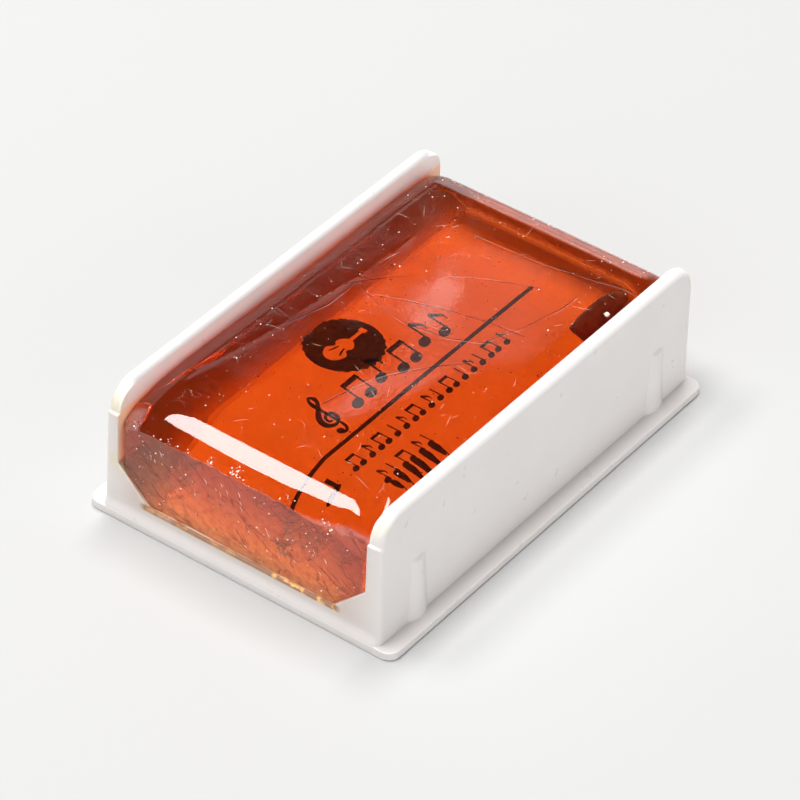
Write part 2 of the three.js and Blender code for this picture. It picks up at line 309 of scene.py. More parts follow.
def cake_f(x, y, z):
    ay = np.abs(y)
    top = (z - cake_top(x, y)) * 0.86
    sides = ay - CW
    chamfer = (ay - z - (INNER_Y - FLOOR_Z - CHAMFER + 0.03)) / math.sqrt(2)
    bottom = CB - z
    ring = both(both(sides, chamfer, 0.15), bottom, 0.04)
    # front end: broken-looking, nearly upright, with shallow ripples and pits
    rough = (0.055 * fbm(x / 2.2, y / 1.5, z / 1.5, 21, 4, 0.55)
             + 0.05 * noise((y * 0.75 + z) / 0.75, (y - z * 0.8) / 3.2, 0 * z, 33)
             - 0.10 * np.clip(noise(y / 0.8, z / 0.8, 0 * z, 41) - 0.55, 0, 1))
    front = (CX0 + 0.03 * (z - 7) ** 2 / 9 - x) + rough
    back = x - (CX1 - 0.010 * (z - 8) ** 2) + 0.03 * fbm(x, y / 1.7, z / 1.7, 51, 3)
    ends = both(front, back, 0)
    f = both(ring, ends, 0.28)
    plan_back = box2(x - (CX1 - 20), y, 20.0, CW, 2.8)
    f = both(f, np.where(x > CX1 - 18, plan_back, -9), 0)
    plan_front = box2(x - (CX0 + 20), y, 20.1, CW, 1.3)
    f = both(f, np.where(x < CX0 + 18, plan_front, -9), 0)
    crisp = smooth01((-24.2 - x) / 0.5)
    return both(f, top, 0.22) * (1 - crisp) + both(f, top, 0.09) * crisp


def make_cake():
    xs = graded([(-26.2, -24.8, 0.1), (-24.8, -19.2, 0.22), (-19.2, 20.0, 0.45), (20.0, 22.6, 0.25), (22.6, 26.2, 0.12)])
    yp = graded([(0, 10.4, 0.26), (10.4, 13.6, 0.22), (13.6, 15.0, 0.12)])
    ys = np.unique(np.concatenate([-yp[::-1], yp]))
    zs = graded([(2.8, 3.5, 0.1), (3.5, 10.0, 0.24), (10.0, 12.2, 0.16), (12.2, 14.8, 0.11)])
    xs, ys, zs = xs + 0.0137, ys + 0.0113, zs + 0.0071
    V, N, Q = net(cake_f, xs, ys, zs)
    return mesh_object("rosin_body", V, Q, N)


def make_flaw():
    """An internal crack near the back of the near wall: two thin bowed plates, dark red as a painted reflection."""
    V, F, o = [], [], 0
    for outline, y0, bow in (
        ([(10.9, 13.72), (11.2, 12.6), (11.7, 11.2), (12.5, 9.7), (14.4, 8.9), (16.8, 8.9), (19.0, 9.4), (20.2, 10.5), (20.0, 11.5), (18.9, 12.5), (17.6, 13.4), (16.3, 13.8), (14.6, 13.86), (12.8, 13.8)], -11.45, 0.35),
        ([(8.7, 11.6), (9.4, 10.2), (10.6, 10.0), (10.3, 11.5)], -12.5, 0.1),
    ):
        P = np.array(outline)
        m = len(P)
        c = P.mean(0)
        ring = [c] + [c + (p - c) * k for k in (0.35, 0.7, 1.0) for p in P]
        n = len(ring)
        for side in (0, 1):
            for i, q in enumerate(ring):
                yy = y0 + bow * math.cos((q[0] - c[0]) / 3.2) + 0.05 * math.sin(q[1] * 1.7) + (0.03 if side else 0.0)
                V.append((q[0], yy, q[1]))
        turn = (P[1][0] - P[0][0]) * (c[1] - P[0][1]) - (P[1][1] - P[0][1]) * (c[0] - P[0][0])
        for side in (0, 1):
            b = o + side * n
            tris = [(b, b + 1 + i, b + 1 + (i + 1) % m) for i in range(m)]
            for k in (0, 1):
                tris += [(b + 1 + k * m + i, b + 1 + (k + 1) * m + i, b + 1 + (k + 1) * m + (i + 1) % m, b + 1 + k * m + (i + 1) % m) for i in range(m)]
            # seen from -y an anticlockwise ring in (x, z) faces -y
            F += [t if (turn > 0) == (side == 0) else t[::-1] for t in tris]
        for i in range(m):
            j = (i + 1) % m
            q = (o + 1 + 2 * m + i, o + 1 + 2 * m + j, o + n + 1 + 2 * m + j, o + n + 1 + 2 * m + i)
            F.append(q[::-1] if turn > 0 else q)
        o += 2 * n
    return mesh_object("rosin_flaw", V, F)


# --------------------------------------------------------------------------
# label and its generic print (no lettering)
# --------------------------------------------------------------------------
LABEL_TOP = FLOOR_Z + 0.12


def slab(name, outline, z0, z1, rings=(), bevel=0.0):
    """A closed flat piece from an outline of (x, y), with an optional rounded upper rim."""
    n = len(outline)
    P = np.array(outline, float)
    c = P.mean(0)
    V = [(x, y, z0) for x, y in P] + [(x, y, z1 - bevel) for x, y in P]
    F = [list(range(n))[::-1]]
    F += [[i, (i + 1) % n, n + (i + 1) % n, n + i] for i in range(n)]
    base = n
    if bevel > 0:
        d = c - P
        d /= np.maximum(np.linalg.norm(d, axis=1), 1e-9)[:, None]
        V += [(x, y, z1) for x, y in P + d * bevel]
        F += [[n + i, n + (i + 1) % n, 2 * n + (i + 1) % n, 2 * n + i] for i in range(n)]
        base = 2 * n
    F.append([base + i for i in range(n)])
    return V, F


def rounded_outline(L, W, r, seg=8):
    pts = []
    for sx, sy, a0 in ((1, 1, 0), (-1, 1, 90), (-1, -1, 180), (1, -1, 270)):
        for i in range(seg + 1):
            a = math.radians(a0 + 90 * i / seg)
            pts.append((sx * (L / 2 - r) + r * math.cos(a), sy * (W / 2 - r) + r * math.sin(a)))
    return pts


def make_label():
    V, F = slab("label", rounded_outline(46.0, 20.6, 1.0), FLOOR_Z + 0.005, LABEL_TOP, bevel=0.03)
    ob = mesh_object("label_sheet", V, F)
    for p in ob.data.polygons:
        p.use_smooth = False
    return ob


INK_Z0, INK_Z1 = LABEL_TOP - 0.01, LABEL_TOP + 0.02


class Ink:
    """Collects flat printed shapes as thin closed solids."""

    def __init__(self):
        self.V, self.F = [], []

    def polygon(self, pts):
        n, o = len(pts), len(self.V)
        area = sum(pts[i][0] * pts[(i + 1) % n][1] - pts[(i + 1) % n][0] * pts[i][1] for i in range(n))
        if area < 0:
            pts = pts[::-1]
        self.V += [(x, y, INK_Z0) for x, y in pts] + [(x, y, INK_Z1) for x, y in pts]
        self.F.append([o + i for i in range(n)][::-1])
        self.F.append([o + n + i for i in range(n)])
        self.F += [[o + i, o + (i + 1) % n, o + n + (i + 1) % n, o + n + i] for i in range(n)]

    def stroke(self, pts, widths):
        """A tapering band along pts, as quads."""
        P = np.array(pts, float)
        w = np.interp(np.linspace(0, 1, len(P)), np.linspace(0, 1, len(widths)), widths)
        T = np.gradient(P, axis=0)
        T /= np.maximum(np.linalg.norm(T, axis=1), 1e-9)[:, None]
        Nn = np.stack([-T[:, 1], T[:, 0]], 1)
        A, B = P + Nn * w[:, None] / 2, P - Nn * w[:, None] / 2
        o, n = len(self.V), len(P)
        for z in (INK_Z0, INK_Z1):
            self.V += [(a[0], a[1], z) for a in A] + [(b[0], b[1], z) for b in B]
        lo_a, lo_b, hi_a, hi_b = o, o + n, o + 2 * n, o + 3 * n
        for i in range(n - 1):
            self.F.append([hi_b + i, hi_b + i + 1, hi_a + i + 1, hi_a + i])
            self.F.append([lo_a + i, lo_a + i + 1, lo_b + i + 1, lo_b + i])
            self.F.append([lo_a + i + 1, lo_a + i, hi_a + i, hi_a + i + 1])
            self.F.append([lo_b + i, lo_b + i + 1, hi_b + i + 1, hi_b + i])
        self.F.append([lo_a, lo_b, hi_b, hi_a])
        self.F.append([lo_b + n - 1, lo_a + n - 1, hi_a + n - 1, hi_b + n - 1])

    def ring(self, cx, cy, r0, r1, n=72):
        a = np.linspace(0, 2 * math.pi, n, endpoint=False)
        o = len(self.V)
        for z in (INK_Z0, INK_Z1):
            for r in (r0, r1):
                self.V += [(cx + r * math.cos(t), cy + r * math.sin(t), z) for t in a]
        li, lo_, hi, ho = o, o + n, o + 2 * n, o + 3 * n
        for i in range(n):
            j = (i + 1) % n
            self.F.append([hi + i, ho + i, ho + j, hi + j])
            self.F.append([lo_ + i, li + i, li + j, lo_ + j])
            self.F.append([lo_ + i, lo_ + j, ho + j, ho + i])
            self.F.append([li + j, li + i, hi + i, hi + j])

    def disc(self, cx, cy, r, n=40):
        self.polygon([(cx + r * math.cos(2 * math.pi * i / n), cy + r * math.sin(2 * math.pi * i / n)) for i in range(n)])


def spline(points, n=60):
    """A smooth open curve through points."""
    P = np.array(points, float)
    k = len(P)
    P = np.vstack([2 * P[0] - P[1], P, 2 * P[-1] - P[-2]])
    out = []
    per = max(2, n // (k - 1))
    for i in range(1, k):
        p0, p1, p2, p3 = P[i - 1], P[i], P[i + 1], P[i + 2]
        for t in np.linspace(0, 1, per, endpoint=(i == k - 1)):
            out.append(0.5 * ((2 * p1) + (-p0 + p2) * t + (2 * p0 - 5 * p1 + 4 * p2 - p3) * t**2
                              + (-p0 + 3 * p1 - 3 * p2 + p3) * t**3))
    return out


def make_print():
    ink = Ink()
    # emblem: a scalloped seal with a plain violin silhouette left open in it
    cx, cy, R = 0.0, 7.3, 4.1

    def half_width(q):
        """The violin's half width at q along X, from its tail to the top of its neck."""
        if q <= -2.7 or q >= 3.3:
            return 0.0
        if q > 1.1:
            return 0.22 if q < 2.7 else 0.42
        k = (q + 2.7) / 3.8
        bout = 1.42 * math.sin(math.pi * min(1.0, max(0.0, k))) ** 0.45
        waist = 1 - 0.44 * math.exp(-(((k - 0.56) / 0.12) ** 2))
        return max(0.22, bout * waist * (1.0 - 0.18 * k))

    qs = np.linspace(-R + 0.01, R - 0.01, 200)

    def rim(q):
        h = math.sqrt(R * R - q * q)
        return h * (1 + 0.03 * math.cos(26 * math.atan2(h, q)))

    for sign in (1, -1):
        outer = [(cx + q, cy + sign * rim(q)) for q in qs]
        inner = [(cx + q, cy + sign * half_width(q)) for q in qs]
        for i in range(len(qs) - 1):
            ink.polygon([inner[i], inner[i + 1], outer[i + 1], outer[i]])
    # the two sound holes, left as ink inside the open body
    for sign in (1, -1):
        ink.stroke(spline([(cx - 1.6, cy + sign * 0.66), (cx - 1.0, cy + sign * 0.44), (cx - 0.4, cy + sign * 0.32)], 14), [0.12, 0.2, 0.12])
    # a clef, drawn thick and thin
    k, ox, oy = 0.70, -9.7, 1.55
    clef = [(0.05, -0.45), (-0.55, -0.15), (-0.5, 0.6), (0.15, 0.95), (0.95, 0.55), (1.05, -0.45), (0.3, -1.2), (-0.75, -1.05),
            (-1.5, -0.1), (-1.25, 1.25), (-0.1, 2.45), (0.75, 3.4), (0.9, 4.4), (0.42, 5.0), (-0.05, 4.4), (-0.1, 3.3), (0.2, 1.5),
            (0.55, -0.8), (0.72, -2.1), (0.5, -2.9), (-0.1, -3.15), (-0.7, -2.85)]
    ink.stroke(spline([(ox + k * (x + 0.22 * y), oy + k * y) for x, y in clef], 260),
               [0.2, 0.3, 0.3, 0.34, 0.42, 0.42, 0.3, 0.5, 0.7, 0.62, 0.46, 0.4, 0.5, 0.3, 0.3, 0.5, 0.34, 0.34, 0.34, 0.34, 0.34, 0.3])
    ink.disc(ox + k * (-0.55 - 0.22 * 2.6), oy - k * 2.55, 0.4)
    # long rule that hooks down at its left end
    ink.stroke(spline([(-19.8, -5.0), (-19.5, -3.3), (-18.2, -2.0), (-15.2, -1.5)], 60), [0.22, 0.34, 0.42, 0.46])
    ink.stroke([(-15.25 + 34.4 * i / 40, -1.5) for i in range(41)], [0.46, 0.46])

    def note(x, y, s, kind, lean=0.0):
        """A generic music note."""
        a = np.linspace(0, 2 * math.pi, 22, endpoint=False)
        c, d = math.cos(0.4), math.sin(0.4)
        ink.polygon([(x + s * (0.42 * math.cos(q) * c - 0.29 * math.sin(q) * d),
                      y + s * (0.42 * math.cos(q) * d + 0.29 * math.sin(q) * c)) for q in a])
        w = 0.025 + 0.045 * s
        sx, tx = x + 0.36 * s - w, x + (0.36 + lean) * s - w
        ink.polygon([(sx - w, y + 0.05), (sx + w, y + 0.05), (tx + w, y + 1.42 * s), (tx - w, y + 1.42 * s)])
        if kind == 1:
            ink.stroke(spline([(tx, y + 1.38 * s), (tx + 0.24 * s, y + 1.1 * s), (tx + 0.44 * s, y + 0.86 * s), (tx + 0.38 * s, y + 0.5 * s)], 22),
                       [0.3 * s, 0.26 * s, 0.16 * s, 0.06 * s])
        if kind == 2:
            ink.polygon([(tx - w, y + 1.45 * s), (tx - w, y + 1.14 * s), (tx + w + 1.03 * s, y + 1.14 * s), (tx + w + 1.03 * s, y + 1.45 * s)])

    # a bar of large leaning notes beside the clef
    for x, y, kind in ((-6.2, 0.95, 2), (-4.1, 0.95, 0), (-1.7, 1.5, 1), (0.9, 0.75, 2), (2.96, 0.75, 0), (5.4, 1.55, 1), (7.9, 0.95, 1)):
        note(x, y, 2.0, kind, 0.22)

    def row(x0, x1, y, s, pattern):
        x, i = x0, 0
        while x < x1:
            k = pattern[i % len(pattern)]
            if k >= 0:
                note(x, y, s, k)
                if k == 2:
                    x += 1.03 * s
                    note(x, y, s, 0)
            x += 1.28 * s
            i += 1

    row(-15.4, 11.4, -4.7, 1.12, (0, 2, 1, 2, 0, 1, 2, 1, 0, 2, 0, 1))
    row(-13.4, -5.6, -8.0, 1.12, (1, 0, 2, 1, 0, 1))
    ob = mesh_object("label_print", ink.V, ink.F)
    for p in ob.data.polygons:
        p.use_smooth = False
    return ob


# --------------------------------------------------------------------------
# small things that the cake really has: bubbles, grit and powder crumbs
# --------------------------------------------------------------------------
ICO = None


def icosphere():
    global ICO
    if ICO is None:
        p = (1 + 5**0.5) / 2
        V = [(-1, p, 0), (1, p, 0), (-1, -p, 0), (1, -p, 0), (0, -1, p), (0, 1, p), (0, -1, -p), (0, 1, -p), (p, 0, -1), (p, 0, 1), (-p, 0, -1), (-p, 0, 1)]
        F = [(0, 11, 5), (0, 5, 1), (0, 1, 7), (0, 7, 10), (0, 10, 11), (1, 5, 9), (5, 11, 4), (11, 10, 2), (10, 7, 6), (7, 1, 8),
             (3, 9, 4), (3, 4, 2), (3, 2, 6), (3, 6, 8), (3, 8, 9), (4, 9, 5), (2, 4, 11), (6, 2, 10), (8, 6, 7), (9, 8, 1)]
        V = [np.array(v, float) / np.linalg.norm(v) for v in V]
        F2, mid = [], {}

        def half(a, b):
            k = (min(a, b), max(a, b))
            if k not in mid:
                m = V[a] + V[b]
                V.append(m / np.linalg.norm(m))
                mid[k] = len(V) - 1
            return mid[k]

        for a, b, c in F:
            ab, bc, ca = half(a, b), half(b, c), half(c, a)
            F2 += [(a, ab, ca), (b, bc, ab), (c, ca, bc), (ab, bc, ca)]
        ICO = np.array(V), np.array(F2)
    return ICO


def crumbs(name, places, sizes, rough=0.35, flat=1.0):
    BV, BF = icosphere()
    V, F, o = [], [], 0
    for p, s in zip(places, sizes):
        k = 1 + rough * RNG.uniform(-1, 1, len(BV))
        A = BV * k[:, None] * s * np.array([1, 1, flat])
        V.append(A + np.asarray(p))
        F.append(BF + o)
        o += len(BV)
    return mesh_object(name, np.concatenate(V), np.concatenate(F))


def threads(paths, radii):
    """Thin four-sided closed tubes along short paths."""
    V, F, o = [], [], 0
    for P, r in zip(paths, radii):
        P = np.asarray(P)
        T = np.gradient(P, axis=0)
        T /= np.maximum(np.linalg.norm(T, axis=1), 1e-9)[:, None]
        A = np.cross(T, [0.3, 0.5, 0.81]); A /= np.linalg.norm(A, axis=1)[:, None]
        B = np.cross(T, A)
        n = len(P)
        w = r * np.sin(np.linspace(0.25, math.pi - 0.25, n))[:, None]
        for d in (A, B, -A, -B):
            V.append(P + d * w)
        for k in range(4):
            a, b = o + k * n, o + ((k + 1) % 4) * n
            F += [(a + i, a + i + 1, b + i + 1, b + i) for i in range(n - 1)]
        F.append((o, o + n, o + 2 * n, o + 3 * n))
        F.append((o + 4 * n - 1, o + 3 * n - 1, o + 2 * n - 1, o + n - 1))
        o += 4 * n
    return np.concatenate(V), F


def make_specks():
    # dark grit and pale bubbles just under the top surface
    n = 420
    x, y = RNG.uniform(-23, 22.5, n), RNG.uniform(-13.3, 13.3, n)
    depth = 0.12 + RNG.exponential(0.7, n)
    z = cake_top(x, y) - np.clip(depth, 0.12, 5)
    dark = crumbs("rosin_grit", np.stack([x, y, z], 1), 0.028 + 0.055 * RNG.random(n) ** 3)
    n = 190
    x, y = RNG.uniform(-23.5, 23.5, n), RNG.uniform(-13.5, 13.5, n)
    z = cake_top(x, y) + 0.012
    pale = [np.stack([x, y, z], 1)]
    size = [0.034 + 0.05 * RNG.random(n) ** 4]
    # more of them on the back roll
    n = 90
    x, y = RNG.uniform(21.6, 25.0, n), RNG.uniform(-12.5, 12.5, n)
    pale.append(np.stack([x, y, cake_top(x, y) + 0.01], 1))
    size.append(0.028 + 0.06 * RNG.random(n) ** 3)
    # one larger pale crumb by the near wall: a painted highlight in place of a small round reflection
    pale.append(np.array([[14.9, -13.1, cake_top(np.array([14.9]), np.array([-13.1]))[0] - 0.05]]))
    size.append(np.array([0.30]))
    # powder along the broken front edge, in a few clusters, and over the end face
    where = np.concatenate([RNG.normal(c, w, n) for c, w, n in ((1.2, 0.35, 26), (3.9, 0.3, 16), (-9.6, 0.5, 14), (8.5, 1.2, 12), (-3.5, 2.5, 12), (12.9, 0.3, 10))])
    y = np.clip(where, -13.6, 13.6)
    x = CX0 + 0.25 + RNG.exponential(0.28, len(y))
    pale.append(np.stack([x, y, cake_top(x, y) + 0.01], 1))
    size.append(0.03 + 0.07 * RNG.random(len(y)) ** 2.5)
    n = 210
    y, z = RNG.uniform(-13.6, 13.9, n), RNG.uniform(3.5, 11.3, n)
    keep = np.abs(y) - z < INNER_Y - FLOOR_Z - CHAMFER - 0.3
    y, z = y[keep], z[keep]
    pale.append(np.stack([np.full(len(y), CX0 - 0.02), y, z], 1))
    size.append(0.02 + 0.07 * RNG.random(len(y)) ** 4)
    light = crumbs("rosin_powder", np.concatenate(pale), np.concatenate(size), flat=0.7)
    # fine hairs and scratches on the top, and pale splinters down the broken end face
    paths, radii = [], []
    for _ in range(46):
        x0, y0, a, bend, long = RNG.uniform(-22, 21), RNG.uniform(-12.5, 12), RNG.uniform(0, math.pi), RNG.uniform(-0.5, 0.5), RNG.uniform(0.5, 2.0)
        t = np.linspace(-0.5, 0.5, 9)
        x, y = x0 + long * t * math.cos(a) - bend * t * t * math.sin(a), y0 + long * t * math.sin(a) + bend * t * t * math.cos(a)
        y = np.clip(y, -13.2, 13.2)
        paths.append(np.stack([x, y, cake_top(x, y) + 0.006], 1))
        radii.append(RNG.uniform(0.009, 0.017))
    for cy, cz, spread in ((3.6, 9.8, 0.5), (2.4, 10.4, 0.4), (-2.6, 7.6, 0.7), (5.6, 8.6, 0.6), (-5.4, 6.2, 0.8), (9.6, 9.6, 0.7), (0.4, 9.9, 0.5), (-8.8, 8.2, 0.9)):
        for _ in range(4):
            y0, z0, long = RNG.normal(cy, spread), RNG.normal(cz, spread), RNG.uniform(0.25, 0.8)
            t = np.linspace(0, 1, 6)
            y, z = y0 - 0.42 * long * t + 0.05 * np.sin(9 * t), z0 - 0.9 * long * t
            paths.append(np.stack([CX0 + 0.03 * (z - 7) ** 2 / 9 - 0.05 + 0 * y, y, np.clip(z, 3.4, 11.3)], 1))
            radii.append(RNG.uniform(0.02, 0.05))
    V, F = threads(paths, radii)
    return dark, light, mesh_object("rosin_threads", V, F)


# --------------------------------------------------------------------------
# materials
# --------------------------------------------------------------------------
class Mat:
    def __init__(self, name):
        self.m = bpy.data.materials.new(name)
        self.m.use_nodes = True
        self.nt = self.m.node_tree
        self.nt.nodes.clear()
        self.out = self.nt.nodes.new("ShaderNodeOutputMaterial")
        self.p = self.nt.nodes.new("ShaderNodeBsdfPrincipled")
        self.link(self.p.outputs[0], self.out.inputs["Surface"])
        self.geo = self.nt.nodes.new("ShaderNodeTexCoord")
        self.pos = self.geo.outputs["Object"]

    def link(self, a, b):
        self.nt.links.new(a, b)

    def set(self, **kw):
        for k, v in kw.items():
            self.p.inputs[k.replace("_", " ")].default_value = v

    def node(self, kind, **kw):
        n = self.nt.nodes.new(kind)
        for k, v in kw.items():
            setattr(n, k, v)
        return n

    def noise(self, scale, detail=3, rough=0.5, stretch=None, distortion=0.0):
        n = self.node("ShaderNodeTexNoise")
        n.inputs["Scale"].default_value = scale
        n.inputs["Detail"].default_value = detail
        n.inputs["Roughness"].default_value = rough
        n.inputs["Distortion"].default_value = distortion
        src = self.pos
        if stretch:
            mp = self.node("ShaderNodeMapping")
            mp.inputs["Scale"].default_value = stretch[:3]
            if len(stretch) > 3:
                mp.inputs["Rotation"].default_value = stretch[3:]
            self.link(self.pos, mp.inputs["Vector"])
            src = mp.outputs[0]
        self.link(src, n.inputs["Vector"])
        return n.outputs["Fac"]

    def ramp(self, src, lo, hi, a=0.0, b=1.0):
        n = self.node("ShaderNodeMapRange", clamp=True)
        n.inputs["From Min"].default_value, n.inputs["From Max"].default_value = lo, hi
        n.inputs["To Min"].default_value, n.inputs["To Max"].default_value = a, b
        self.link(src, n.inputs["Value"])
        return n.outputs[0]

    def math(self, op, a, b=None):
        n = self.node("ShaderNodeMath", operation=op)
        for i, v in enumerate((a, b)):
            if v is None:
                continue
            if isinstance(v, (int, float)):
                n.inputs[i].default_value = v
            else:
                self.link(v, n.inputs[i])
        return n.outputs[0]

    def mix(self, fac, a, b):
        n = self.node("ShaderNodeMix", data_type="RGBA")
        for i, v in (("Factor", fac),):
            if isinstance(v, (int, float)):
                n.inputs[0].default_value = v
            else:
                self.link(v, n.inputs[0])
        for i, v in ((6, a), (7, b)):
            if isinstance(v, tuple):
                n.inputs[i].default_value = (*v, 1)
            else:
                self.link(v, n.inputs[i])
        return n.outputs[2]

    def bump(self, height, strength, distance, after=None):
        n = self.node("ShaderNodeBump")
        n.inputs["Strength"].default_value = strength
        n.inputs["Distance"].default_value = distance
        self.link(height, n.inputs["Height"])
        if after is not None:
            self.link(after, n.inputs["Normal"])
        return n.outputs[0]

    def near(self, centre, radius, squash=(1, 1, 1)):
        """1 at centre, falling to 0 at radius (mm)."""
        sub = self.node("ShaderNodeVectorMath", operation="SUBTRACT")
        self.link(self.pos, sub.inputs[0])
        sub.inputs[1].default_value = [c * MM for c in centre]
        mul = self.node("ShaderNodeVectorMath", operation="MULTIPLY")
        self.link(sub.outputs[0], mul.inputs[0])
        mul.inputs[1].default_value = squash
        ln = self.node("ShaderNodeVectorMath", operation="LENGTH")
        self.link(mul.outputs[0], ln.inputs[0])
        return self.ramp(ln.outputs["Value"], 0, radius * MM, 1, 0)


# painted shade for the plastic seen under the cake
UNDER_SHADE_FLOOR, UNDER_SHADE_LOW, UNDER_SHADE_HIGH, UNDER_SHADE_WALL = (0.42, 0.31, 0.21), (0.93, 0.90, 0.86), (0.40, 0.30, 0.20), (0.92, 0.62, 0.40)


def plastic_material():
    m = Mat("white_plastic")
    m.set(IOR=1.53, Specular_IOR_Level=0.5)
    sep = m.node("ShaderNodeSeparateXYZ")
    m.link(m.pos, sep.inputs[0])
    X, Y, Z = sep.outputs
    base = m.mix(m.ramp(m.noise(130, 3), 0.35, 0.65), (0.728, 0.692, 0.676), (0.748, 0.714, 0.700))
    # painted shade and warm glow: the sill and the wall ends are darker and warmer up towards the cake
    glow = m.math("MULTIPLY", m.ramp(X, -0.0250, -0.0256), m.ramp(Z, 0.0012, 0.0030))
    glow = m.math("MULTIPLY", glow, m.ramp(m.math("ABSOLUTE", Y), 0.0165, 0.0125))
    base = m.mix(m.math("MULTIPLY", glow, 0.9), base, (0.60, 0.50, 0.45))
    # painted golden glints: the sill's top edge in front of the cake turns amber brown, bright gold towards the near
    # side
    rim = m.math("MULTIPLY", m.ramp(X, -0.0252, -0.0254), m.ramp(Z, 0.00255, 0.00272))
    rim = m.math("MULTIPLY", m.math("MULTIPLY", rim, m.ramp(Z, 0.00345, 0.00325)), m.ramp(m.math("ABSOLUTE", Y), 0.0121, 0.0114))
    amber = m.mix(m.math("MULTIPLY", m.ramp(m.noise(1100, 3), 0.50, 0.60), m.ramp(Y, 0.002, -0.004, 0.25, 1.0)), (0.34, 0.15, 0.065), (0.92, 0.52, 0.14))
    base = m.mix(m.math("MULTIPLY", rim, m.ramp(m.noise(420, 4), 0.30, 0.44, 0.75, 1)), base, amber)
    # painted glow: the thin upper walls are lighter on the inside, lightest at the top
    inner = m.math("MULTIPLY", m.ramp(m.math("ABSOLUTE", Y), 0.01500, 0.01480), m.ramp(Z, 0.0125, 0.0130))
    base = m.mix(inner, base, m.mix(m.ramp(Z, 0.0134, 0.0150), (0.80, 0.79, 0.76), (0.90, 0.93, 0.91)))
    # painted shade: the wall tops are greyer, most on the far wall
    crown_shade = m.math("MULTIPLY", m.ramp(Z, 0.0148, 0.01515), m.ramp(Y, 0.010, 0.012, 0.45, 1.0))
    base = m.mix(crown_shade, base, (0.615, 0.605, 0.595))
    # painted shade: darker towards the foot, broken up by noise
    foot_shade = m.math("MULTIPLY", m.ramp(Z, 0.0045, 0.0008), m.ramp(m.noise(240, 4), 0.25, 0.6, 0.6, 1))
    base = m.mix(m.math("MULTIPLY", foot_shade, 0.30), base, (0.52, 0.485, 0.465))
    # rosin smears, yellow, where the cake's ends meet the walls
    stain = None
    for c, r, s in (((-25.3, 15.5, 13.4), 2.2, (1, 1, 1)), ((-25.2, -15.4, 14.3), 1.8, (1, 1, 1.3)),
                    ((-25.7, 14.4, 7.0), 2.6, (1, 0.8, 1.4)), ((25.3, -15.2, 13.6), 1.6, (1, 1, 1)),
                    ((25.6, 14.0, 7.4), 1.8, (1, 1, 1))):
        k = m.math("POWER", m.near(c, r, s), 1.4)
        stain = k if stain is None else m.math("MAXIMUM", stain, k)
    stain = m.math("MULTIPLY", stain, m.ramp(m.noise(1500, 4, 0.6), 0.34, 0.54))
    base = m.mix(m.math("MULTIPLY", stain, 0.85), base, (0.70, 0.63, 0.36))
    # the odd dark grain of dust
    grit = m.ramp(m.noise(2300, 1), 0.80, 0.83)
    base = m.mix(m.math("MULTIPLY", grit, 0.6), base, (0.35, 0.32, 0.30))
    # under the cake the plastic is painted amber brown and darker, as painted shade, darkest up the far chamfer
    under = m.math("MULTIPLY", m.ramp(m.math("ABSOLUTE", Y), 0.01475, 0.0147), m.ramp(m.math("ABSOLUTE", X), 0.02558, 0.02552))
    under = m.math("MULTIPLY", under, m.ramp(Z, 0.0027, 0.0029))
    # but not on the sill that shows in front of the broken face
    under = m.math("MULTIPLY", under, m.math("MAXIMUM", m.ramp(Z, 0.00305, 0.0032), m.ramp(X, -0.02543, -0.02537)))
    under = m.math("MULTIPLY", under, m.ramp(Z, 0.0131, 0.0126))
    strip = m.mix(m.ramp(Y, 0.0108, 0.0128), (0.76, 0.64, 0.50), (0.40, 0.29, 0.20))
    low = m.mix(m.ramp(Z, 0.0034, 0.0056), m.mix(m.ramp(Y, 0.0080, 0.0095), UNDER_SHADE_LOW, strip), UNDER_SHADE_HIGH)
    low = m.mix(m.ramp(Z, 0.0066, 0.0072), low, UNDER_SHADE_WALL)
    end = m.mix(m.ramp(X, 0.0245, 0.0250), UNDER_SHADE_FLOOR, (0.92, 0.80, 0.62))
    behind = m.math("MULTIPLY", m.ramp(Z, 0.00308, 0.00304), m.ramp(X, 0.0223, 0.0225))
    low = m.mix(behind, low, end)
    under = m.math("MULTIPLY", under, m.math("MAXIMUM", m.ramp(Y, -0.002, 0.004, 0.35, 1.0), m.ramp(X, 0.006, 0.010)))
    # painted shade: a dark patch on the near chamfer and wall towards the back, below the internal crack
    crack_patch_shade = m.math("MULTIPLY", m.ramp(X, 0.0075, 0.0095), m.math("MULTIPLY", m.ramp(Y, -0.0103, -0.0106), m.ramp(Z, 0.0029, 0.00296)))
    low = m.mix(crack_patch_shade, low, (0.20, 0.075, 0.045))
    base = m.mix(under, base, low)
    m.link(base, m.p.inputs["Base Color"])
    gloss = m.node("ShaderNodeMix", data_type="FLOAT")
    gloss.inputs[3].default_value = 0.9
    m.link(rim, gloss.inputs[0]); m.link(m.ramp(m.noise(420, 4), 0.3, 0.7, 0.27, 0.36), gloss.inputs[2])
    m.link(gloss.outputs[0], m.p.inputs["Roughness"])
    b = m.bump(m.noise(70, 1), 0.12, 0.00006)
    b = m.bump(m.noise(3200, 3), 0.10, 0.000006, b)
    m.link(b, m.p.inputs["Normal"])
    return m.m


